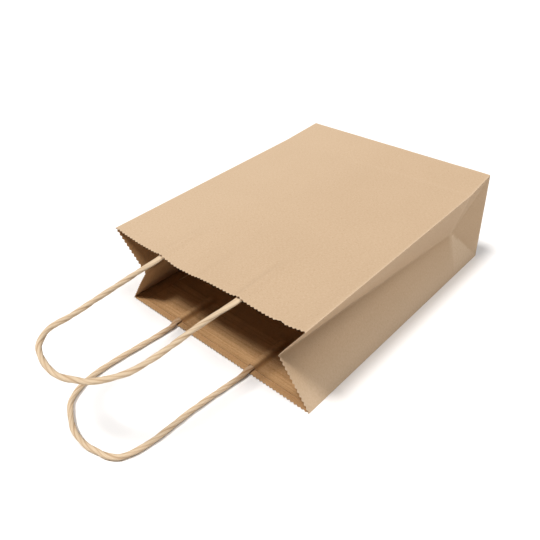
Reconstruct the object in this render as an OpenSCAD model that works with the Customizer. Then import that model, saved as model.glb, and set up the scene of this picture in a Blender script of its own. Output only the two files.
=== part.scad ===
// Kraft paper gift bag with two twisted paper cord handles, lying on its back panel.
// Origin: middle of the underside of the back panel. X runs along the mouth,
// the mouth is at -Y, the base at +Y, and the front panel is on top.

/* [Bag] */
// Width of the front and back panels
bag_w = 180; // [140:1:260]
// Height of the bag, from the base to the mouth
bag_h = 230; // [190:1:320]
// Depth of the bag, which is the width of each gusset
bag_d = 78; // [70:1:110]
// Thickness of the kraft paper
paper_t = 0.2; // [0.15:0.05:0.3]
// How far the mouth edge of the front panel has sunk towards the back panel
mouth_drop = 8.5; // [4:0.5:10]
// Gap left along a crease between two facets of the folded sheet
crease_gap = 0.3; // [0.2:0.1:0.5]

/* [Mouth edge] */
// Length of one tooth of the zigzag cut
tooth_pitch = 3; // [3:0.5:6]
// Depth of the zigzag cut
tooth_depth = 0.8; // [0.5:0.1:2]

/* [Handles] */
// Diameter of the twisted paper cord
cord_d = 4; // [3.6:0.1:5]
// Distance between the two ends of a handle
cord_spacing = 76; // [70:1:80]
// Length of each cord end that is held by the patch
cord_grip = 32; // [25:1:33]
// Distance from the mouth edge out to the line that the front handle swings about
front_swing_offset = 5.5; // [2:0.1:7]
// Distance from the mouth edge out to the line that the back handle swings about
back_swing_offset = 2; // [1.5:0.1:3]
// Distance from the front line to the near end of the cord in the front panel's patch
front_bend_gap = 3; // [2.9:0.1:4]
// Distance from the back line to the near end of the cord in the back panel's patch
back_bend_gap = 2; // [1.8:0.1:3]
// Width of the paper patch that holds a handle
patch_w = 160; // [120:1:170]
// Height of the patch
patch_h = 34; // [28:1:50]
// Distance from the mouth edge to the patch
patch_inset = 5; // [3:1:12]

/* [Base] */
// How far the two base flaps overlap
base_lap = 12; // [8:1:20]
// Width of the glued lap that closes the tube of the bag
seam_w = 10; // [8:1:10]

/* [Hidden] */
$fn = 48;
kraft = [0.80, 0.66, 0.50];
kraft_inside = [0.70, 0.54, 0.38];
kraft_cord = [0.84, 0.71, 0.55];
dried_glue = [0.90, 0.86, 0.76];

half_w = bag_w / 2;
half_h = bag_h / 2;
half_d = bag_d / 2;
glue_t = paper_t / 2;
cord_r = cord_d / 2;
cord_play = 0.05;
tilt = asin(mouth_drop / bag_h);
// Height of the front panel's mouth edge above the underside of the back panel
mouth_z = bag_d - mouth_drop;
// Height of the front panel at the level where the gusset divides, half a depth from the base
divide_z = bag_d - mouth_drop * half_d / bag_h;
// How far the gusset's middle crease is pushed in, at the mouth and where the gusset divides
mouth_push = sqrt(pow(half_d, 2) - pow(mouth_z / 2, 2));
divide_push = sqrt(pow(half_d, 2) - pow(divide_z / 2, 2));
divide_y = half_h - sqrt(pow(half_d, 2) - pow(divide_push, 2));
// Depth below a panel's outer face of each layer of its handle patch
glue_level = paper_t;
outer_level = glue_level + glue_t;
cord_floor = outer_level + paper_t;
cord_level = cord_floor + cord_play + cord_r;

// Route of the back handle from its left end to its right end, y measured from the mouth
back_route = [
    [-38, -4, 2.8], [-40, -22, 2.4], [-41, -38, 2.3], [-42, -53, 2.3], [-42, -67, 2.3],
    [-41, -77, 2.3], [-38, -86, 2.3], [-33, -94, 2.3], [-26, -99, 2.3], [-18, -103, 2.3],
    [-10, -106, 2.3], [-2, -107, 2.3], [6, -107, 2.3], [14, -105, 2.3], [21, -103, 2.3],
    [27, -99, 2.3], [30, -93, 2.3], [32, -85, 2.3], [33, -75, 2.3], [33, -63, 2.3],
    [33, -49, 2.3], [34, -33, 2.3], [36, -18, 2.4], [38, -4, 2.8]
];
// Route of the front handle from its left end to its right end, y measured from the mouth
front_route = [
    [-38, -8, 66.5], [-37, -20, 66], [-36, -40, 65], [-35, -60, 64], [-35, -70, 63],
    [-35, -79, 62.5], [-36, -86, 62], [-36, -91, 61.5], [-34, -96, 61], [-29, -102, 60.5],
    [-23, -105, 60.3], [-16, -107, 60], [-9, -108, 60], [-1, -108, 60], [6, -106, 60],
    [12, -103, 60.4], [18, -100, 60.7], [22, -96, 61], [26, -91, 61.5], [29, -86, 62],
    [32, -79, 62.5], [34, -64, 63.6], [35, -51, 64.5], [35, -36, 65.4], [36, -19, 66],
    [38, -8, 66.5]
];

// Points of a zigzag cut of a given length, running along +X, teeth pointing to -Y
function teeth(length) =
    let (count = round(length / tooth_pitch))
    let (step = length / count)
    [for (i = [0 : 2 * count]) [i * step / 2, i % 2 == 0 ? tooth_depth : 0]];
// The same zigzag laid between two points in space, its teeth pointing along a given direction
function teeth_between(a, b, out) =
    let (length = norm(b - a))
    [for (p = teeth(length)) a + (b - a) * p[0] / length - out * p[1]];

// Outline of a flat panel with its zigzag edge at y = 0
function panel_outline(width, height) = concat(
    [for (p = teeth(width)) [p[0] - width / 2, p[1]]],
    [[width / 2, height], [-width / 2, height]]
);

// A thin facet: a fan of triangles from the first point, thickened along one direction
module facet(points, thicken) {
    n = len(points);
    top = [for (i = [1 : n - 2]) [0, i, i + 1]];
    bottom = [for (f = top) [f[2] + n, f[1] + n, f[0] + n]];
    sides = [for (i = [0 : n - 1], k = [0, 1])
        let (j = (i + 1) % n)
        k == 0 ? [i, i + n, j + n] : [i, j + n, j]];
    polyhedron(concat(points, [for (p = points) p + thicken]), concat(top, bottom, sides));
}

// Unit tangent of a route at one of its points
function heading(route, i) =
    let (d = route[min(i + 1, len(route) - 1)] - route[max(i - 1, 0)])
    d / norm(d);
// Ring of points around a route point
function ring(route, i, sides) =
    let (t = heading(route, i))
    let (flat = cross(t, [0, 0, 1]))
    let (u = flat / norm(flat))
    let (v = cross(u, t))
    [for (k = [0 : sides - 1])
        route[i] + cord_r * (cos(360 * k / sides) * u + sin(360 * k / sides) * v)];

// Tube swept along a route
module cord_tube(route, sides = 12) {
    last = (len(route) - 1) * sides;
    walls = [for (i = [0 : len(route) - 2], k = [0 : sides - 1], h = [0, 1])
        let (a = i * sides + k, b = i * sides + (k + 1) % sides)
        h == 0 ? [a, b, b + sides] : [a, b + sides, a + sides]];
    ends = [
        [for (k = [sides - 1 : -1 : 0]) k],
        [for (k = [0 : sides - 1]) last + k]
    ];
    points = [for (i = [0 : len(route) - 1]) each ring(route, i, sides)];
    polyhedron(points, concat(walls, ends));
}

// Puts a piece where y is measured from the mouth and z from the back panel's outer face
module inside_back() translate([0, -half_h, 0]) children();

// The same inside the front panel, which is tilted about the front edge of the base
module inside_front()
    translate([0, half_h, bag_d]) rotate([tilt, 0, 0])
    translate([0, -bag_h, 0]) mirror([0, 0, 1]) children();

module panel() linear_extrude(paper_t) polygon(panel_outline(bag_w, bag_h - crease_gap));

module back_panel() color(kraft) inside_back() panel();

module front_panel() color(kraft) inside_front() panel();

// Lower half of a gusset: from the back panel's side edge up to the middle crease
module gusset_lower() {
    floor_z = paper_t + crease_gap;
    floor_mouth = [half_w, -half_h, floor_z];
    crease_mouth = [half_w - mouth_push, -half_h, mouth_z / 2 - crease_gap];
    divide = [half_w - divide_push, divide_y - crease_gap, divide_z / 2 - crease_gap];
    base_corner = [half_w, half_h - 4 * crease_gap, floor_z];
    facet(concat([divide, base_corner], teeth_between(floor_mouth, crease_mouth, [0, -1, 0])),
        [-paper_t, 0, 0]);
}

// Upper half of a gusset: from the middle crease up to the front panel's side edge
module gusset_upper() {
    slack = paper_t + crease_gap;
    crease_mouth = [half_w - mouth_push, -half_h, mouth_z / 2 + crease_gap];
    top_mouth = [half_w, -half_h, mouth_z - slack];
    base_corner = [half_w, half_h - 4 * crease_gap, bag_d - slack];
    divide = [half_w - divide_push, divide_y - crease_gap, divide_z / 2 + crease_gap];
    facet(concat([divide], teeth_between(crease_mouth, top_mouth, [0, -1, 0]), [base_corner]),
        [-paper_t, 0, 0]);
}

// Triangle between the divided gusset and the base
module end_triangle() {
    slack = 4 * crease_gap;
    divide = [half_w - divide_push, divide_y + crease_gap, divide_z / 2];
    low = [half_w, half_h - slack + 2 * crease_gap, slack];
    high = [half_w, half_h - slack + 2 * crease_gap, bag_d - slack];
    facet([divide, high, low], [-paper_t, 0, 0]);
}

module to_left() mirror([1, 0, 0]) children();

module right_gusset_lower() color(kraft) gusset_lower();
module right_gusset_upper() color(kraft) gusset_upper();
module right_end_triangle() color(kraft) end_triangle();
module left_gusset_lower() color(kraft) to_left() gusset_lower();
module left_gusset_upper() color(kraft) to_left() gusset_upper();
module left_end_triangle() color(kraft) to_left() end_triangle();

// Puts a flat outline on the base: x as it is, y up the base, a given depth under its outer face
module on_base(depth, thickness = paper_t)
    translate([0, half_h - depth, 0]) rotate([90, 0, 0]) linear_extrude(thickness) children();

// A base flap: a trapezium with 45 degree sides, from one long edge of the base past the middle
module base_flap() {
    reach = half_d + base_lap / 2;
    polygon([
        [-half_w + crease_gap, crease_gap],
        [half_w - crease_gap, crease_gap],
        [half_w - reach, reach],
        [-half_w + reach, reach]
    ]);
}

// The triangle that the end of a gusset folds into, inside the flaps
module base_tuck() on_base(3 * paper_t)
    polygon([
        [half_w - crease_gap, crease_gap],
        [half_w - crease_gap, bag_d - crease_gap],
        [half_w - half_d, half_d]
    ]);

module base_tuck_right() color(kraft) base_tuck();
module base_tuck_left() color(kraft) to_left() base_tuck();
module base_back_flap() color(kraft) on_base(paper_t + glue_t) base_flap();
module base_front_flap() color(kraft) on_base(0) translate([0, bag_d]) mirror([0, 1]) base_flap();
module base_glue() color(dried_glue) on_base(paper_t, glue_t)
    translate([-half_w + bag_d, half_d - base_lap / 4]) square([2 * (half_w - bag_d), base_lap / 2]);

// Strip along the left edge inside the back panel, stopping short of the base and the mouth
module seam_strip(thickness)
    translate([-half_w + 2 * crease_gap, patch_inset, 0])
    cube([seam_w - 2 * crease_gap, bag_h - 2 * patch_inset, thickness]);

module seam_glue() color(dried_glue) inside_back() translate([0, 0, paper_t]) seam_strip(glue_t);
module seam_flap() color(kraft) inside_back() translate([0, 0, paper_t + glue_t]) seam_strip(paper_t);

// A plain rectangle the size of the patch, on the panel's inside
module patch_strip(thickness)
    translate([-patch_w / 2, patch_inset, 0]) cube([patch_w, patch_h, thickness]);

module patch_glue() translate([0, 0, glue_level]) patch_strip(glue_t);
module patch_outer() translate([0, 0, outer_level]) patch_strip(paper_t);

module cord_pair() for (side = [-1, 1]) translate([side * cord_spacing / 2, cord_level]) children();

// Cross-section of an arch over one cord, down to the patch below
module arch(radius) {
    drop = cord_level - cord_floor;
    intersection() {
        circle(radius);
        translate([-radius, 0]) square([2 * radius, radius]);
    }
    translate([-radius, -drop]) square([2 * radius, drop]);
}

// The inner paper of the patch, bent over both cord ends
module patch_inner()
    translate([0, patch_inset + patch_h, 0]) rotate([90, 0, 0]) linear_extrude(patch_h)
    difference() {
        union() {
            translate([-patch_w / 2, cord_floor]) square([patch_w, paper_t]);
            cord_pair() arch(cord_r + cord_play + paper_t);
        }
        cord_pair() arch(cord_r + cord_play);
    }

// The straight ends of the cord, which stop short of the line where the handle bends
module cord_ends(start) {
    for (side = [-1, 1])
        translate([side * cord_spacing / 2, start, cord_level])
        rotate([-90, 0, 0])
        cylinder(r = cord_r, h = patch_inset + cord_grip - start);
}

module back_patch_glue() color(dried_glue) inside_back() patch_glue();
module back_patch_outer() color(kraft_inside) inside_back() patch_outer();
module back_patch_inner() color(kraft_inside) inside_back() patch_inner();
module back_cord_ends() color(kraft_cord) inside_back() cord_ends(back_bend_gap - back_swing_offset);
module back_handle_cord() color(kraft_cord) inside_back() cord_tube(back_route);
module front_patch_glue() color(dried_glue) inside_front() patch_glue();
module front_patch_outer() color(kraft_inside) inside_front() patch_outer();
module front_patch_inner() color(kraft_inside) inside_front() patch_inner();
module front_cord_ends() color(kraft_cord) inside_front() cord_ends(front_bend_gap - front_swing_offset);
module front_handle_cord() color(kraft_cord) inside_back() cord_tube(front_route);

back_panel();
front_panel();
left_gusset_lower();
left_gusset_upper();
left_end_triangle();
right_gusset_lower();
right_gusset_upper();
right_end_triangle();
base_tuck_left();
base_tuck_right();
base_back_flap();
base_front_flap();
base_glue();
seam_flap();
seam_glue();
back_patch_glue();
back_patch_outer();
back_patch_inner();
back_cord_ends();
back_handle_cord();
front_patch_glue();
front_patch_outer();
front_patch_inner();
front_cord_ends();
front_handle_cord();
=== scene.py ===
import math

import bpy
import numpy as np
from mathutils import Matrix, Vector, noise


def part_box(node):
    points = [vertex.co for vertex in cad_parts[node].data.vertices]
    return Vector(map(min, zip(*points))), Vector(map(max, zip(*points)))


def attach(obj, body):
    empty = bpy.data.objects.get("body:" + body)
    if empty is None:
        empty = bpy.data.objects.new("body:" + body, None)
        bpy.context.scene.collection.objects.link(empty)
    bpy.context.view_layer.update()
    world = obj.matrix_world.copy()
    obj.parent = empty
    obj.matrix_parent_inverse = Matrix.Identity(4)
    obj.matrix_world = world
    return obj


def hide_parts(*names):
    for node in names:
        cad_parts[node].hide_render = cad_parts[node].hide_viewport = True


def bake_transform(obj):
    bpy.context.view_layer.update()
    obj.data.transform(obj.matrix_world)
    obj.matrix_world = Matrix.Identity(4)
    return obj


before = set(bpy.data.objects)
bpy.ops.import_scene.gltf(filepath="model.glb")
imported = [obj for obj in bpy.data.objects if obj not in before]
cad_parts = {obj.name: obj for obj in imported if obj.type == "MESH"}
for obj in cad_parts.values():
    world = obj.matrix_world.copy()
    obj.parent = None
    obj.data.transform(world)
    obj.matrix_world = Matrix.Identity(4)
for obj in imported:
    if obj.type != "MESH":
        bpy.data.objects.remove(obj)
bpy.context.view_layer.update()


# ------------------------------------------------------------------------------------------
# The bag sheet. One sheet of brown kraft paper, a bit over half a metre round, is folded into
# a tube with a gusset in each side, and its lower end is folded in to close the base. The
# mouth end is cut to a zigzag. The bag lies on its back panel, so the front panel sags.
# ------------------------------------------------------------------------------------------
MM = 0.001
PAPER = 0.2 * MM
TOOTH = 1.0 * MM

back_low, back_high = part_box("back_panel")
HALF_WIDTH = back_high.x
MOUTH = back_low.y
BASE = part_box("base_front_flap")[1].y
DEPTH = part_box("front_panel")[1].z
HEIGHT = BASE - MOUTH
HALF_DEPTH = DEPTH / 2
DIVIDE = HEIGHT - HALF_DEPTH

# The long folds of the sheet, as points at the mouth, where the gusset divides, and the base
back_left_fold = np.array([
    [-HALF_WIDTH - 2.6 * MM, MOUTH - 0.2 * MM, 0.9 * MM],
    [-HALF_WIDTH, MOUTH + DIVIDE, 0],
    [-HALF_WIDTH, BASE, 0],
])
back_right_fold = np.array([
    [HALF_WIDTH, MOUTH, 0.1 * MM],
    [HALF_WIDTH - 0.2 * MM, MOUTH + DIVIDE, 0],
    [HALF_WIDTH - 0.3 * MM, BASE + 0.5 * MM, 0],
])
front_left_fold = np.array([
    [-HALF_WIDTH + 0.6 * MM, MOUTH - 4.7 * MM, DEPTH - 8 * MM],
    [-HALF_WIDTH + 1 * MM, MOUTH + DIVIDE - 4 * MM, DEPTH - 3 * MM],
    [-HALF_WIDTH + 1.2 * MM, BASE, DEPTH],
])
front_right_fold = np.array([
    [HALF_WIDTH, MOUTH - 3.9 * MM, DEPTH - 6.6 * MM],
    [HALF_WIDTH + 1 * MM, MOUTH + DIVIDE, DEPTH - 2 * MM],
    [HALF_WIDTH - 1.3 * MM, BASE - 2.5 * MM, DEPTH],
])
right_crease = np.array([
    [67 * MM, MOUTH - 2 * MM, 38 * MM],
    [80.7 * MM, MOUTH + DIVIDE + 0.5 * MM, 38 * MM],
    [80.7 * MM, MOUTH + DIVIDE + 0.5 * MM, 38 * MM],
])
left_crease = np.array([
    [-70 * MM, MOUTH + 0.7 * MM, 34.7 * MM],
    [-82.3 * MM, MOUTH + DIVIDE - 3.4 * MM, 40 * MM],
    [-82.3 * MM, MOUTH + DIVIDE - 3.4 * MM, 40 * MM],
])
# Height of the front panel's mouth edge, across the bag
mouth_edge_x = np.array([-90, -75, -60, -47, -34, -22, -9, 3, 14, 27, 40, 50, 60, 70, 80, 90]) * MM
mouth_edge_z = np.array([70, 68.3, 67.6, 67.6, 66.8, 65.2, 65.7, 67.2, 68, 68.4, 68.8, 68.1,
                         67.6, 68, 68.4, 71.4]) * MM
# Where the two ends of each handle leave the bag
LEFT_END, RIGHT_END = -39 * MM, 36.5 * MM


def fold_point(fold, v):
    """Points on a long fold, at heights v above the mouth."""
    return np.stack([np.interp(v, [0, DIVIDE, HEIGHT], fold[:, k]) for k in range(3)], axis=1)


def smooth(a, b, t):
    """0 below a, 1 above b, and a soft step between them."""
    s = np.clip((t - a) / (b - a), 0, 1)
    return s * s * (3 - 2 * s)


def off_cord_ends(x):
    return np.minimum(np.abs(x - LEFT_END), np.abs(x - RIGHT_END))


def ripple(points, size, seed):
    """A slow unevenness from -1 to 1 over bumps of a given size."""
    return np.array([noise.noise(Vector((p[0] / size, p[1] / size, seed))) for p in points])


def mouth_wave(x):
    """How far the front panel's mouth edge stands off the straight line between its corners."""
    near = np.exp(-(((x[:, None] - mouth_edge_x[None, :]) / (6.5 * MM)) ** 2))
    height = (near * mouth_edge_z).sum(1) / near.sum(1)
    straight = np.interp(x, [-HALF_WIDTH, HALF_WIDTH], [mouth_edge_z[0], mouth_edge_z[-1]])
    return (height - straight) * (1 - (x / HALF_WIDTH) ** 8)


def front_surface(x, v):
    """Outer face of the front panel."""
    left, right = fold_point(front_left_fold, v), fold_point(front_right_fold, v)
    across = ((x + HALF_WIDTH) / (2 * HALF_WIDTH))[:, None]
    p = left + across * (right - left)
    free = 1 - (x / HALF_WIDTH) ** 4
    p[:, 2] += mouth_wave(x) * np.exp(-((v / (70 * MM)) ** 2))
    p[:, 2] -= 0.9 * MM * free * np.sin(np.pi * np.clip(v / DIVIDE, 0, 1)) ** 2
    p[:, 2] += 0.45 * MM * free * ripple(np.stack([x, v], axis=1), 42 * MM, 3.7)
    return p


def back_surface(x, v):
    """Outer face of the back panel, which lies on the table and lifts a little at the mouth."""
    left, right = fold_point(back_left_fold, v), fold_point(back_right_fold, v)
    across = ((x + HALF_WIDTH) / (2 * HALF_WIDTH))[:, None]
    p = left + across * (right - left)
    lift = np.clip(1 - (x / (86 * MM)) ** 2, 0, 1)
    p[:, 2] += 0.5 * MM * lift * np.exp(-((v / (32 * MM)) ** 2))
    return p


def gusset_surface(a, v, low_fold, crease, high_fold):
    """Outer face of a gusset; a runs from -1 at the back fold to 1 at the front fold."""
    low, mid, high = fold_point(low_fold, v), fold_point(crease, v), fold_point(high_fold, v)
    w = np.clip((v - DIVIDE) / HALF_DEPTH, 0, 1)
    soft = 0.012 * np.clip(1 - v / DIVIDE, 0, 1) * (1 - a * a)
    up = ((a + np.sqrt(a * a + soft * soft)) / 2)[:, None]
    down = ((-a + np.sqrt(a * a + soft * soft)) / 2)[:, None]
    p = mid + down * (low - mid) + up * (high - mid)
    at_divide = np.full_like(v, DIVIDE)
    low_start, high_start = fold_point(low_fold, at_divide), fold_point(high_fold, at_divide)
    lower = low + (1 + a)[:, None] * (mid - low_start)
    upper = high + (1 - a)[:, None] * (mid - high_start)
    low_end, high_end = low_fold[2], high_fold[2]
    end = mid + w[:, None] * ((low_end + high_end) / 2 - mid)
    end += (a / 2)[:, None] * (high_end - low_end)
    divided = np.where((a < -w)[:, None], lower, np.where((a > w)[:, None], upper, end))
    return np.where((v > DIVIDE)[:, None], divided, p)


def base_surface(x, z, depth):
    """A layer of the base, at a given depth under its outermost face."""
    f = ((x + HALF_WIDTH) / (2 * HALF_WIDTH))[:, None]
    g = (z / DEPTH)[:, None]
    p = (1 - g) * ((1 - f) * back_left_fold[2] + f * back_right_fold[2])
    p += g * ((1 - f) * front_left_fold[2] + f * front_right_fold[2])
    p[:, 1] -= depth
    return p


def select_only(piece):
    bpy.ops.object.select_all(action="DESELECT")
    piece.select_set(True)
    bpy.context.view_layer.objects.active = piece


def paper_grid(name, across, along):
    """A flat grid with its columns and rows at the given places on the sheet.
    Gives the piece, each point's place on the sheet, and its column and row."""
    bpy.ops.object.select_all(action="DESELECT")
    columns, rows = len(across) - 1, len(along) - 1
    bpy.ops.mesh.primitive_grid_add(x_subdivisions=columns, y_subdivisions=rows, size=2)
    piece = bpy.context.active_object
    piece.name = name
    piece.data.name = name
    flat = np.empty(len(piece.data.vertices) * 3)
    piece.data.vertices.foreach_get("co", flat)
    flat = flat.reshape(-1, 3)
    column = np.rint((flat[:, 0] + 1) / 2 * columns).astype(int)
    row = np.rint((flat[:, 1] + 1) / 2 * rows).astype(int)
    u, v = np.asarray(across)[column], np.asarray(along)[row]
    corner = np.empty(len(piece.data.loops), int)
    piece.data.loops.foreach_get("vertex_index", corner)
    layer = piece.data.uv_layers.active
    layer.name = "sheet"
    layer.data.foreach_set("uv", np.stack([u, v], axis=1)[corner].ravel())
    return piece, u, v, column, row


def shape_to(piece, points):
    piece.data.vertices.foreach_set("co", np.asarray(points, np.float32).ravel())
    piece.data.update()


def add_values(piece, name, values):
    layer = piece.data.attributes.new(name, "FLOAT", "POINT")
    layer.data.foreach_set("value", np.asarray(values, np.float32))


def weld(piece, close_ends=False):
    """Joins the points that lie together, and turns the faces outwards."""
    select_only(piece)
    bpy.ops.object.mode_set(mode="EDIT")
    bpy.ops.mesh.select_all(action="SELECT")
    bpy.ops.mesh.remove_doubles(threshold=0.01 * MM)
    bpy.ops.mesh.dissolve_degenerate(threshold=0.005 * MM)
    if close_ends:
        bpy.ops.mesh.select_all(action="SELECT")
        bpy.ops.mesh.fill_holes(sides=0)
    bpy.ops.mesh.select_all(action="SELECT")
    bpy.ops.mesh.normals_make_consistent(inside=False)
    bpy.ops.object.mode_set(mode="OBJECT")


def flip(piece):
    select_only(piece)
    bpy.ops.object.mode_set(mode="EDIT")
    bpy.ops.mesh.select_all(action="SELECT")
    bpy.ops.mesh.flip_normals()
    bpy.ops.object.mode_set(mode="OBJECT")


def face_towards(piece, direction):
    """Turns the whole piece over if its faces look away from a direction, on the whole."""
    total = sum((Vector(p.normal) * p.area for p in piece.data.polygons), Vector())
    if total.dot(Vector(direction)) < 0:
        flip(piece)


def thicken(piece, thickness, inside_slot=0):
    """Gives paper its thickness, behind the face that was shaped."""
    select_only(piece)
    solid = piece.modifiers.new("thickness", "SOLIDIFY")
    solid.thickness = thickness
    solid.offset = -1
    solid.use_even_offset = False
    solid.use_rim = True
    solid.material_offset = inside_slot
    bpy.ops.object.modifier_apply(modifier=solid.name)


def round_off(piece, degrees=34):
    select_only(piece)
    bpy.ops.object.shade_smooth_by_angle(angle=math.radians(degrees))


def link(tree, a, b):
    tree.links.new(a, b)


def kraft_paper(name, deep, plain, pale, streaks, blotches):
    """Unbleached kraft: short fibres and flecks, slow clouds, paler folds and cut edges, and
    painted light and shade.
    streaks is the strength of the long lines across the sheet, blotches that of the clouds."""
    material = bpy.data.materials.new(name)
    material.use_nodes = True
    tree = material.node_tree
    nodes = tree.nodes
    shader = nodes["Principled BSDF"]
    shader.inputs["Roughness"].default_value = 0.86
    shader.inputs["Specular IOR Level"].default_value = 0.22
    sheet = nodes.new("ShaderNodeUVMap")
    sheet.uv_map = "sheet"

    def grain(scale_u, scale_v, detail, low, high):
        place = nodes.new("ShaderNodeMapping")
        place.inputs["Scale"].default_value = (scale_u, scale_v, 1)
        cells = nodes.new("ShaderNodeTexNoise")
        cells.inputs["Scale"].default_value = 1
        cells.inputs["Detail"].default_value = detail
        cells.inputs["Roughness"].default_value = 0.6
        reach = nodes.new("ShaderNodeMapRange")
        reach.inputs["From Min"].default_value = low
        reach.inputs["From Max"].default_value = high
        link(tree, sheet.outputs["UV"], place.inputs["Vector"])
        link(tree, place.outputs["Vector"], cells.inputs["Vector"])
        link(tree, cells.outputs["Fac"], reach.inputs["Value"])
        return reach.outputs["Result"]

    def share(value, amount):
        part = nodes.new("ShaderNodeMath")
        part.operation = "MULTIPLY"
        part.inputs[1].default_value = amount
        link(tree, value, part.inputs[0])
        return part.outputs["Value"]

    def tint(under, over, amount):
        mix = nodes.new("ShaderNodeMix")
        mix.data_type = "RGBA"
        if isinstance(under, tuple):
            mix.inputs["A"].default_value = (*under, 1)
        else:
            link(tree, under, mix.inputs["A"])
        mix.inputs["B"].default_value = (*over, 1)
        link(tree, amount, mix.inputs["Factor"])
        return mix.outputs["Result"]

    fibres = grain(500, 1500, 2, 0.35, 0.75)
    cross_fibres = grain(1500, 600, 2, 0.45, 0.75)
    flecks = grain(900, 700, 1, 0.66, 0.78)
    clouds = grain(34, 26, 3, 0.35, 0.7)
    lines = grain(14, 420, 4, 0.42, 0.70)
    colour = tint(plain, deep, share(clouds, blotches))
    colour = tint(colour, deep, share(lines, streaks))
    colour = tint(colour, pale, share(fibres, 0.48))
    colour = tint(colour, deep, share(cross_fibres, 0.3))
    colour = tint(colour, deep, share(flecks, 0.7))
    # Painted shade, from a value that each piece gives its points
    painted_shade = nodes.new("ShaderNodeAttribute")
    painted_shade.attribute_name = "painted_shade"
    colour = tint(colour, deep, painted_shade.outputs["Fac"])
    # Paler for worn folds and edges, and for painted light, from a value that each piece gives its
    # points
    wear_and_painted_light = nodes.new("ShaderNodeAttribute")
    wear_and_painted_light.attribute_name = "wear_and_painted_light"
    paler = nodes.new("ShaderNodeMath")
    paler.operation = "MULTIPLY"
    link(tree, wear_and_painted_light.outputs["Fac"], paler.inputs[0])
    link(tree, grain(620, 620, 2, 0.1, 0.65), paler.inputs[1])
    colour = tint(colour, pale, paler.outputs["Value"])
    link(tree, colour, shader.inputs["Base Color"])
    tooth = nodes.new("ShaderNodeBump")
    tooth.inputs["Strength"].default_value = 0.35
    tooth.inputs["Distance"].default_value = 0.06 * MM
    link(tree, grain(1100, 1100, 3, 0.2, 0.8), tooth.inputs["Height"])
    wrinkle = nodes.new("ShaderNodeBump")
    wrinkle.inputs["Strength"].default_value = 0.25
    wrinkle.inputs["Distance"].default_value = 0.5 * MM
    link(tree, grain(60, 45, 2, 0.2, 0.8), wrinkle.inputs["Height"])
    link(tree, tooth.outputs["Normal"], wrinkle.inputs["Normal"])
    link(tree, wrinkle.outputs["Normal"], shader.inputs["Normal"])
    return material


kraft_outside = kraft_paper(
    "kraft_outside", (0.38, 0.245, 0.135), (0.525, 0.37, 0.235), (0.64, 0.49, 0.34), 0.04, 0.10)
kraft_inside = kraft_paper(
    "kraft_inside", (0.24, 0.11, 0.035), (0.44, 0.245, 0.105), (0.52, 0.33, 0.18), 0.18, 0.22)

panel_columns = 120
gusset_columns = 26
right_start = 2 * HALF_WIDTH
front_start = right_start + DEPTH
left_start = front_start + 2 * HALF_WIDTH
girth = left_start + DEPTH
across = np.concatenate([
    np.linspace(0, right_start, panel_columns + 1)[:-1],
    np.linspace(right_start, front_start, 2 * gusset_columns + 1)[:-1],
    np.linspace(front_start, left_start, panel_columns + 1)[:-1],
    np.linspace(left_start, girth, 2 * gusset_columns + 1),
])
along = np.concatenate([
    [0], np.linspace(2.2 * MM, 48 * MM, 20)[:-1],
    np.linspace(48 * MM, DIVIDE, 34)[:-1],
    np.linspace(DIVIDE, HEIGHT, gusset_columns + 1)[:-1],
    HEIGHT + np.linspace(0, HALF_DEPTH, gusset_columns + 1),
])
bag_sheet, u, v, column, row = paper_grid("bag_sheet", across, along)
v = np.where((row == 0) & (column % 2 == 1), TOOTH, v)
# A small tear in the front panel's edge, near its right corner
TEAR_X, TEAR_REACH = 70 * MM, 2.4 * MM
torn = (row == 0) & (np.abs(front_start + HALF_WIDTH - u - TEAR_X) < TEAR_REACH)
v = np.where(torn, np.where(column % 2 == 1, 1.9 * MM, 1.1 * MM), v)

on_back = u <= right_start
on_right = (u > right_start) & (u < front_start)
on_front = (u >= front_start) & (u <= left_start)
on_left = u > left_start
x = np.where(on_back, u - HALF_WIDTH, np.where(on_front, front_start + HALF_WIDTH - u, 0))
a_right = (u - right_start) / HALF_DEPTH - 1
a_left = 1 - (u - left_start) / HALF_DEPTH
v_wall = np.minimum(v, HEIGHT)

# Over the cords the front panel stands up in two low ridges
FRONT_RIDGE, RIDGE_REACH = 1.5 * MM, 3.6 * MM
over_cord = np.exp(-((off_cord_ends(x) / RIDGE_REACH) ** 2)) * (1 - smooth(28 * MM, 52 * MM, v))
wall = np.zeros((len(u), 3))
wall[on_back] = back_surface(x, v_wall)[on_back]
wall[on_front] = front_surface(x, v_wall)[on_front]
wall[on_front, 2] += FRONT_RIDGE * over_cord[on_front]
wall[on_right] = gusset_surface(
    a_right, v_wall, back_right_fold, right_crease, front_right_fold)[on_right]
wall[on_left] = gusset_surface(
    a_left, v_wall, back_left_fold, left_crease, front_left_fold)[on_left]
bulge = np.where(on_right, 1 - a_right ** 2, np.where(on_left, 1 - a_left ** 2, 0))
bulge *= np.where(v_wall > DIVIDE, 0.3, 1)
wall[:, 0] += 0.8 * MM * bulge * ripple(np.stack([v_wall, u], axis=1), 30 * MM, 8.1)

# Past the base fold the sheet turns in, and its gusset ends fold into triangles
t = np.clip(v - HEIGHT, 0, HALF_DEPTH)
narrow = (HALF_WIDTH - t) / HALF_WIDTH
base_x = np.where(on_right, HALF_WIDTH - t, np.where(on_left, t - HALF_WIDTH, x * narrow))
base_z = np.where(on_back, t, np.where(on_front, DEPTH - t, 0))
base_z = np.where(on_right, HALF_DEPTH + a_right * (HALF_DEPTH - t), base_z)
base_z = np.where(on_left, HALF_DEPTH + a_left * (HALF_DEPTH - t), base_z)
base = base_surface(base_x, base_z, 0.65 * MM * smooth(0, 1.5 * MM, t))
shape_to(bag_sheet, np.where((v > HEIGHT)[:, None], base, wall))

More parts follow.
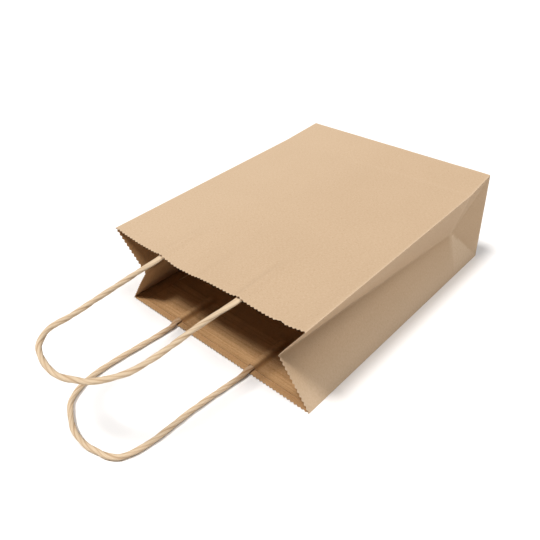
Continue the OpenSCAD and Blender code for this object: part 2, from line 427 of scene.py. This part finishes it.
folds = np.array([0, right_start, front_start, left_start, girth])
off_fold = np.abs(u[:, None] - folds[None, :]).min(1)
middle = np.minimum(np.abs(a_right), np.abs(a_left)) * HALF_DEPTH
w_fold = np.abs(v - HEIGHT)
divide_fold = np.abs(v - DIVIDE)
side = on_right | on_left
a = np.where(on_right, a_right, a_left)
diagonal = np.where(side & (v > DIVIDE) & (v <= HEIGHT),
                    np.abs(np.abs(a) * HALF_DEPTH - (v - DIVIDE)), 1)


def line_wear(distance, width, amount):
    return amount * np.clip(1 - distance / (width * MM), 0, 1)


wear_and_painted_light = np.maximum.reduce([
    line_wear(off_fold, 1.7, 0.7), line_wear(w_fold, 2.0, 0.4),
    line_wear(np.where(side, divide_fold, 1), 2.0, 0.3), line_wear(divide_fold, 2.0, 0.12),
    line_wear(diagonal, 2.0, 0.4), line_wear(np.where(side & (v < DIVIDE), middle, 1), 2.0, 0.1),
    line_wear(v, 1.2, 0.6), line_wear(np.hypot(u - right_start, v), 4, 1), 1.0 * torn,
])
# Painted shade: the paper is darker just below each gusset crease, where the fold above shades it
below_crease = np.where(side & (v < DIVIDE), -a * HALF_DEPTH, -1)
painted_shade = np.where(below_crease > 0, 0.62 * np.exp(-below_crease / (6 * MM)), 0)
# and painted shade on the gussets near the mouth, fading out towards the back panel
painted_mouth_shade = 0.3 * (1 - smooth(5 * MM, 70 * MM, v)) * smooth(-0.9, -0.2, a)
painted_shade = np.where(side & (a > -0.9), np.maximum(painted_shade, painted_mouth_shade), painted_shade)
at_base = side & (v > DIVIDE) & (v <= HEIGHT)
inside_end = (v - DIVIDE) - np.abs(a) * HALF_DEPTH
painted_end_shade = 0.16 + 0.22 * np.exp(-inside_end / (3 * MM))
# Painted shade: the end triangles, the facets above them and the right of the front panel are
# darker too, where less light falls
painted_shade = np.where(at_base & (inside_end > 0), painted_end_shade, painted_shade)
painted_shade = np.where(at_base & (inside_end <= 0) & (a > 0), 0.18, painted_shade)
painted_shade = np.where(on_front, 0.09 * smooth(-HALF_WIDTH, HALF_WIDTH, x), painted_shade)
add_values(bag_sheet, "painted_shade", painted_shade)
# Painted light: the low part of each gusset, the low facet beside each end triangle and the left
# of the front panel are paler, where more light falls
painted_light_low = np.where(side & (v <= HEIGHT), 0.55 * smooth(-0.35, -0.95, a), 0)
painted_light_low = np.where(at_base & (inside_end <= 0) & (a < 0), 0.8, painted_light_low)
painted_light_left = np.where(on_front, 0.22 * smooth(HALF_WIDTH / 3, -HALF_WIDTH, x), 0)
add_values(bag_sheet, "wear_and_painted_light", np.maximum.reduce([wear_and_painted_light, painted_light_low, painted_light_left]))
bag_sheet.data.materials.append(kraft_outside)
bag_sheet.data.materials.append(kraft_inside)
weld(bag_sheet)
top_face = max(bag_sheet.data.polygons, key=lambda p: p.center.z)
if top_face.normal.z < 0:
    flip(bag_sheet)
thicken(bag_sheet, PAPER, inside_slot=1)
round_off(bag_sheet)
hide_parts("back_panel", "front_panel", "left_gusset_lower", "left_gusset_upper",
            "left_end_triangle", "right_gusset_lower", "right_gusset_upper", "right_end_triangle",
            "base_tuck_left", "base_tuck_right")
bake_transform(bag_sheet)


# ------------------------------------------------------------------------------------------
# The base flaps. The two long ends of the sheet fold over the base with slanting sides, the
# front one over the back one, and a stripe of glue down the middle holds them together.
# ------------------------------------------------------------------------------------------
FLAP_LAP = 6 * MM
UNDER_FRONT_FLAP = 0.33 * MM


def base_flap(name, from_back, outer_depth, node):
    across = np.linspace(-1, 1, 61)
    along = np.concatenate([[0.1 * MM, 0.8 * MM], np.linspace(2 * MM, HALF_DEPTH + FLAP_LAP, 24)])
    piece, share, t = paper_grid(name, across, along)[:3]
    x = share * (HALF_WIDTH - 0.1 * MM - t)
    z = t if from_back else DEPTH - t
    settle = outer_depth * smooth(0, 14 * MM, t)
    settle -= 0.12 * MM * smooth(HALF_DEPTH - 6 * MM, HALF_DEPTH + FLAP_LAP, t)
    settle -= 0.15 * MM * (0.5 + 0.5 * ripple(np.stack([x, t], axis=1), 25 * MM, 5.5))
    shape_to(piece, base_surface(x, z, settle))
    edge = np.minimum((1 - np.abs(share)) * HALF_WIDTH, t)
    add_values(piece, "wear_and_painted_light", line_wear(edge, 2.2, 0.45))
    piece.data.materials.append(kraft_outside)
    piece.data.materials.append(kraft_inside)
    face_towards(piece, (0, 1, 0))
    thicken(piece, PAPER, inside_slot=1)
    round_off(piece)
    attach(piece, "bag")
    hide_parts(node)


base_flap("base_flap_from_back", True, UNDER_FRONT_FLAP, "base_back_flap")
base_flap("base_flap_from_front", False, 0.0, "base_front_flap")


def dried_glue(name):
    """A thin, slightly cloudy film of dried glue."""
    material = bpy.data.materials.new(name)
    material.use_nodes = True
    tree = material.node_tree
    shader = tree.nodes["Principled BSDF"]
    shader.inputs["Roughness"].default_value = 0.42
    shader.inputs["Specular IOR Level"].default_value = 0.4
    place = tree.nodes.new("ShaderNodeTexCoord")
    cloud = tree.nodes.new("ShaderNodeTexNoise")
    cloud.inputs["Scale"].default_value = 240
    cloud.inputs["Detail"].default_value = 3
    ramp = tree.nodes.new("ShaderNodeValToRGB")
    ramp.color_ramp.elements[0].color = (0.60, 0.50, 0.34, 1)
    ramp.color_ramp.elements[0].position = 0.35
    ramp.color_ramp.elements[1].color = (0.78, 0.72, 0.58, 1)
    ramp.color_ramp.elements[1].position = 0.7
    link(tree, place.outputs["Object"], cloud.inputs["Vector"])
    link(tree, cloud.outputs["Fac"], ramp.inputs["Fac"])
    link(tree, ramp.outputs["Color"], shader.inputs["Base Color"])
    return material


glue_film = dried_glue("glue_film")
GLUE = 0.1 * MM
BASE_GLUE_DEPTH = 0.1 * MM

glue_low, glue_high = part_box("base_glue")
base_glue, x, z = paper_grid(
    "base_glue_stripe",
    np.linspace(glue_low.x, glue_high.x, 31), np.linspace(glue_low.z, glue_high.z, 4))[:3]
shape_to(base_glue, base_surface(x, z, np.full_like(x, BASE_GLUE_DEPTH)))
base_glue.data.materials.append(glue_film)
face_towards(base_glue, (0, 1, 0))
thicken(base_glue, GLUE)
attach(base_glue, "bag")
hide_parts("base_glue")


# ------------------------------------------------------------------------------------------
# The side seam. The tube is closed by a narrow flap that is glued down inside the left edge
# of the back panel, from just below the mouth to just above the base.
# ------------------------------------------------------------------------------------------
def strip_on_back(name, across, along, depth, thickness, paper):
    """A strip that lies on the inside of the back panel; depth is to its lower face."""
    piece, x, v = paper_grid(name, across, along)[:3]
    p = back_surface(x, v)
    p[:, 2] += depth + thickness
    shape_to(piece, p)
    piece.data.materials.append(paper)
    face_towards(piece, (0, 0, 1))
    thicken(piece, thickness)
    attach(piece, "bag")
    return piece


SEAM_GLUE_SHIFT = 0.4 * MM
seam_low, seam_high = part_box("seam_flap")
seam_across = np.linspace(seam_low.x, seam_high.x, 6)
seam_along = np.linspace(seam_low.y - MOUTH, seam_high.y - MOUTH, 60)
seam_glue = strip_on_back(
    "seam_glue_stripe", seam_across + SEAM_GLUE_SHIFT, seam_along, PAPER, GLUE, glue_film)
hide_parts("seam_glue")
seam_flap = strip_on_back(
    "seam_flap_strip", seam_across, seam_along, PAPER + GLUE, PAPER, kraft_inside)
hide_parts("seam_flap")


# ------------------------------------------------------------------------------------------
# The handle patches. Each handle is held between two strips of thin brown paper glued inside
# the panel, just under the mouth edge. The inner strip is pressed down round both cord ends.
# ------------------------------------------------------------------------------------------
patch_paper = kraft_paper(
    "patch_paper", (0.25, 0.115, 0.035), (0.52, 0.305, 0.14), (0.60, 0.38, 0.20), 0.8, 0.42)
CORD_RADIUS = 2.0 * MM
CORD_DEPTH = 1.7 * MM
RIDGE = 2.6 * MM

patch_low, patch_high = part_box("back_patch_inner")
PATCH_TOP = patch_low.y - MOUTH
PATCH_END = patch_high.y - MOUTH
near_cord = np.arange(-6, 6.01, 0.5) * MM
patch_across = np.unique(np.round(np.concatenate([
    np.arange(patch_low.x, patch_high.x + 0.1 * MM, 2.5 * MM),
    near_cord + LEFT_END, near_cord + RIGHT_END]), 6))
patch_along = np.linspace(PATCH_TOP, PATCH_END, 18)


def panel_inside(x, v, depth, on_front):
    """Points under a panel's outer face, depth measured into the bag."""
    if on_front:
        p = front_surface(x, v)
        p[:, 2] -= depth
    else:
        p = back_surface(x, v)
        p[:, 2] += depth
    return p


def patch_layer(name, node, depth, thickness, ridge, paper, on_front):
    piece, x, v = paper_grid(name, patch_across, patch_along)[:3]
    off_cord = off_cord_ends(x) / (2.6 * MM)
    rise = ridge / (1 + off_cord ** 6)
    shape_to(piece, panel_inside(x, v, depth + thickness + rise, on_front))
    edge = np.minimum.reduce([x - patch_low.x, patch_high.x - x, v - PATCH_TOP, PATCH_END - v])
    ridged = ridge > 0
    # Paler cut edges, and a painted highlight along the top of each cord ridge
    add_values(piece, "wear_and_painted_light", line_wear(edge, 2.0, 0.2) + 0.25 / (1 + off_cord ** 2) * ridged)
    # Painted shadow: the paper is dark beside each cord, on the side of its ridge away from the
    # light, and it is darker along the edge of the patch
    beside = off_cord_ends(x - 3.4 * MM) / (1.7 * MM)
    painted_shadow = 0.9 * np.exp(-(beside ** 2)) * ridged + line_wear(edge, 1.6, 0.5)
    add_values(piece, "painted_shade", painted_shadow)
    piece.data.materials.append(paper)
    face_towards(piece, (0, 0, -1 if on_front else 1))
    thicken(piece, thickness)
    round_off(piece, 60)
    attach(piece, "front" if on_front else "bag")
    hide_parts(node)


for panel, on_front_panel in (("back", False), ("front", True)):
    patch_layer(f"{panel}_patch_glue_film", f"{panel}_patch_glue",
                PAPER, GLUE, 0, glue_film, on_front_panel)
    patch_layer(f"{panel}_patch_outer_paper", f"{panel}_patch_outer",
                PAPER + GLUE, PAPER, 0, patch_paper, on_front_panel)
    patch_layer(f"{panel}_patch_inner_paper", f"{panel}_patch_inner",
                2 * PAPER + GLUE, PAPER, RIDGE, patch_paper, on_front_panel)


# ------------------------------------------------------------------------------------------
# The handles. Each is one cord: a broad strip of kraft paper crushed together and twisted to
# the left, so that its folds run round it as long slanting grooves. Both ends are flattened
# where they are glued into the patch.
# ------------------------------------------------------------------------------------------
TWIST = 34 * MM
GRIP = 28 * MM
# Angle round the cord, depth and half width of each groove
grooves = [(0.0, 0.17, 0.30), (1.7, 0.09, 0.22), (3.0, 0.13, 0.26), (4.6, 0.10, 0.22)]
SIDES = 40
CORD_STEP = 1.1 * MM

front_route = np.array([
    [-38.5, -8, 64.9], [-38, -20, 64.7], [-36.5, -40, 64.4], [-35, -60, 64], [-35, -70, 63],
    [-35, -79, 62.5], [-36, -86, 62], [-36, -91, 61.5], [-34, -96, 61], [-29, -102, 60.5],
    [-23, -105, 60.3], [-16, -107, 60], [-9, -108, 60], [-1, -108, 60], [6, -106, 60],
    [12, -103, 60.4], [18, -100, 60.7], [22, -96, 61], [26, -91, 61.5], [29, -86, 62],
    [32, -79, 62.5], [34, -64, 63.6], [34.5, -51, 64.5], [34.5, -36, 65.2], [35, -19, 65.6],
    [36, -8, 66.1],
]) * MM
back_route = np.array([
    [-39.3, -5, 2.2], [-40, -22, 2.2], [-41, -38, 2.3], [-42, -53, 2.3], [-42, -67, 2.3],
    [-41, -77, 2.3], [-38, -86, 2.3], [-33, -94, 2.3], [-26, -99, 2.3], [-18, -103, 2.3],
    [-10, -106, 2.3], [-2, -107, 2.3], [6, -107, 2.3], [14, -105, 2.3], [21, -103, 2.3],
    [27, -99, 2.3], [30, -93, 2.3], [32, -85, 2.3], [33, -75, 2.3], [33, -63, 2.3],
    [33, -49, 2.3], [34, -33, 2.3], [35.3, -18, 2.2], [36.3, -5, 2.2],
]) * MM


def eased(points, step):
    """One smooth line through the points, with a new point every step."""
    p = np.concatenate([[2 * points[0] - points[1]], points, [2 * points[-1] - points[-2]]])
    line = []
    for i in range(1, len(p) - 2):
        s = np.linspace(0, 1, 30, endpoint=False)[:, None]
        a, b, c, d = p[i - 1], p[i], p[i + 1], p[i + 2]
        line.append(0.5 * (2 * b + (c - a) * s + (2 * a - 5 * b + 4 * c - d) * s ** 2
                           + (3 * b - a - 3 * c + d) * s ** 3))
    line = np.concatenate(line + [points[-1:]])
    for _ in range(60):
        line[1:-1] = (line[:-2] + 2 * line[1:-1] + line[2:]) / 4
    far = np.concatenate([[0], np.cumsum(np.linalg.norm(np.diff(line, axis=0), axis=1))])
    at = np.linspace(0, far[-1], math.ceil(far[-1] / step) + 1)
    return np.stack([np.interp(at, far, line[:, k]) for k in range(3)], axis=1), at


def twisted_cord(name, route, on_front, paper):
    """The cord as a strip of paper rolled round its route, from one glued end to the other."""
    ends = []
    for end_x in (LEFT_END, RIGHT_END):
        v = np.array([GRIP + PATCH_TOP, 18 * MM, PATCH_TOP, 0.5 * MM])
        ends.append(panel_inside(np.full(len(v), end_x), v, CORD_DEPTH, on_front))
    outside = route + np.array([0, MOUTH, 0])
    line, far = eased(np.concatenate([ends[0], outside, ends[1][::-1]]), CORD_STEP)
    turns = np.linspace(0, 2 * np.pi, SIDES + 1)
    piece, angle, _, _, row = paper_grid(name, turns, far)
    ahead = np.gradient(line, axis=0)
    ahead /= np.linalg.norm(ahead, axis=1)[:, None]
    side_way = np.cross(ahead, [0, 0, 1])
    side_way /= np.linalg.norm(side_way, axis=1)[:, None]
    up = np.cross(side_way, ahead)
    # The cord is pressed flat and hardly twisted where the patch holds it
    from_end = np.minimum(far, far[-1] - far)
    flat_to, flat_gone, press_gone = (8, 34, 30) if on_front else (-6, 8, 14)
    flat = 1 - smooth(GRIP + flat_to * MM, GRIP + flat_gone * MM, from_end)
    tight = 2 * np.pi / TWIST * (1 - 0.75 * flat)
    wander = 0.35 * np.array([noise.noise(Vector((f / (26 * MM), 4.2, on_front))) for f in far])
    turned = -np.concatenate([[0], np.cumsum(tight[1:] * np.diff(far))]) + 1.2 + wander
    # r is the distance of the paper from the middle of the cord, as a share of its radius
    r = np.ones_like(angle)
    # Painted shade in the grooves, stronger in the deeper ones
    painted_cord_shade = np.zeros_like(angle)
    for at, deep, wide in grooves:
        apart = np.abs((angle - at + np.pi) % (2 * np.pi) - np.pi)
        cut = np.exp(-((apart / wide) ** 2))
        r -= deep * cut * (1 - 0.55 * flat[row])
        painted_cord_shade = np.maximum(painted_cord_shade, cut * deep / 0.2)
    r *= 1 - 0.05 * (1 + np.cos(2 * angle + 0.6))
    uneven = np.array([noise.noise(Vector((f / (9 * MM), 1.3, on_front))) for f in far])
    r *= 1 - 0.05 * (0.5 + 0.5 * uneven[row])
    turned_angle = angle + turned[row]
    press = 1 - smooth(GRIP + 2 * MM, GRIP + press_gone * MM, from_end)
    widened = 1 + 0.26 * press[row]
    thinned = 1 - 0.34 * press[row]
    p = line[row]
    p = p + (CORD_RADIUS * r * np.cos(turned_angle) * widened)[:, None] * side_way[row]
    p = p + (CORD_RADIUS * r * np.sin(turned_angle) * thinned)[:, None] * up[row]
    shape_to(piece, p)
    # Painted shade: the back handle is darker where it leaves the patch, in the shade under the
    # front panel
    painted_exit_shade = (0 if on_front else 0.75) * (1 - smooth(GRIP + 4 * MM, GRIP + 30 * MM, from_end))
    add_values(piece, "painted_cord_shade", painted_cord_shade * (1 - 0.6 * flat[row]) + painted_exit_shade[row])
    piece.data.materials.append(paper)
    weld(piece, close_ends=True)
    round_off(piece, 80)
    return piece, line, far[-1]


def twisted_paper(name):
    """Paler, smoother kraft with painted shade in the grooves, and fibre lines that follow the
    twist.
    """
    material = bpy.data.materials.new(name)
    material.use_nodes = True
    tree = material.node_tree
    nodes = tree.nodes
    shader = nodes["Principled BSDF"]
    shader.inputs["Roughness"].default_value = 0.72
    shader.inputs["Specular IOR Level"].default_value = 0.3
    strip = nodes.new("ShaderNodeUVMap")
    strip.uv_map = "sheet"
    place = nodes.new("ShaderNodeMapping")
    place.inputs["Scale"].default_value = (5, 55, 1)
    fibre = nodes.new("ShaderNodeTexNoise")
    fibre.inputs["Scale"].default_value = 1.6
    fibre.inputs["Detail"].default_value = 4
    fibre.inputs["Roughness"].default_value = 0.65
    link(tree, strip.outputs["UV"], place.inputs["Vector"])
    link(tree, place.outputs["Vector"], fibre.inputs["Vector"])
    ramp = nodes.new("ShaderNodeValToRGB")
    ramp.color_ramp.elements[0].position = 0.30
    ramp.color_ramp.elements[0].color = (0.53, 0.38, 0.235, 1)
    ramp.color_ramp.elements[1].position = 0.62
    ramp.color_ramp.elements[1].color = (0.70, 0.55, 0.38, 1)
    link(tree, fibre.outputs["Fac"], ramp.inputs["Fac"])
    painted_cord_shade = nodes.new("ShaderNodeAttribute")
    painted_cord_shade.attribute_name = "painted_cord_shade"
    # Painted shade: darker in the grooves, and where the back handle leaves its patch
    shade = nodes.new("ShaderNodeMix")
    shade.data_type = "RGBA"
    shade.inputs["B"].default_value = (0.36, 0.20, 0.095, 1)
    part = nodes.new("ShaderNodeMath")
    part.operation = "MULTIPLY"
    part.inputs[1].default_value = 0.8
    link(tree, painted_cord_shade.outputs["Fac"], part.inputs[0])
    link(tree, part.outputs["Value"], shade.inputs["Factor"])
    link(tree, ramp.outputs["Color"], shade.inputs["A"])
    link(tree, shade.outputs["Result"], shader.inputs["Base Color"])
    bump = nodes.new("ShaderNodeBump")
    bump.inputs["Strength"].default_value = 0.3
    bump.inputs["Distance"].default_value = 0.12 * MM
    link(tree, fibre.outputs["Fac"], bump.inputs["Height"])
    link(tree, bump.outputs["Normal"], shader.inputs["Normal"])
    return material


cord_paper = twisted_paper("cord_paper")

for panel, body, route, on_front_panel in (
        ("back", "bag", back_route, False), ("front", "front", front_route, True)):
    handle, line, length = twisted_cord(f"{panel}_handle", route, on_front_panel, cord_paper)
    leaves = panel_inside(
        np.array([LEFT_END]), np.array([PATCH_TOP]), CORD_DEPTH, on_front_panel)[0]
    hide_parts(f"{panel}_handle_cord", f"{panel}_cord_ends")
    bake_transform(handle)


# ------------------------------------------------------------------------------------------
# The table top, the lights and the camera. A plain white table, one soft light from overhead,
# a weaker one from the right, and a dim room round it.
# ------------------------------------------------------------------------------------------
bpy.ops.object.select_all(action="DESELECT")
bpy.ops.mesh.primitive_plane_add(size=14, location=(0, 0, -0.2 * MM))
table = bpy.context.active_object
table.name = "table_top"
white = bpy.data.materials.new("white_table")
white.use_nodes = True
white_shader = white.node_tree.nodes["Principled BSDF"]
white_shader.inputs["Base Color"].default_value = (0.91, 0.89, 0.875, 1)
white_shader.inputs["Roughness"].default_value = 0.9
white_shader.inputs["Specular IOR Level"].default_value = 0.1
table.data.materials.append(white)

bpy.ops.object.light_add(type="SUN", location=(-1, -0.2, 2))
key = bpy.context.active_object
key.name = "soft_key"
key.data.energy = 2.85
key.data.angle = math.radians(13)
key.rotation_euler = Vector((-0.12, -0.33, 1)).to_track_quat("Z", "Y").to_euler()
bpy.ops.object.light_add(type="SUN", location=(1, 0.2, 2))
side_fill = bpy.context.active_object
side_fill.name = "side_fill"
side_fill.data.energy = 1.3
side_fill.data.angle = math.radians(20)
side_fill.rotation_euler = Vector((0.42, 0.06, 1)).to_track_quat("Z", "Y").to_euler()

room = bpy.data.worlds.new("pale_room")
room.use_nodes = True
room_light = room.node_tree.nodes["Background"]
room_light.inputs["Color"].default_value = (0.96, 0.98, 1, 1)
room_light.inputs["Strength"].default_value = 0.14
bpy.context.scene.world = room
bpy.context.scene.view_settings.view_transform = "Standard"

bpy.ops.object.camera_add(
    location=(0.2359, -0.2980, 0.2812),
    rotation=(math.radians(54.219), math.radians(1.836), math.radians(42.331)))
camera = bpy.context.active_object
camera.data.lens = 37.34
camera.data.sensor_width = 36
camera.data.clip_start = 0.01
bpy.context.scene.camera = camera
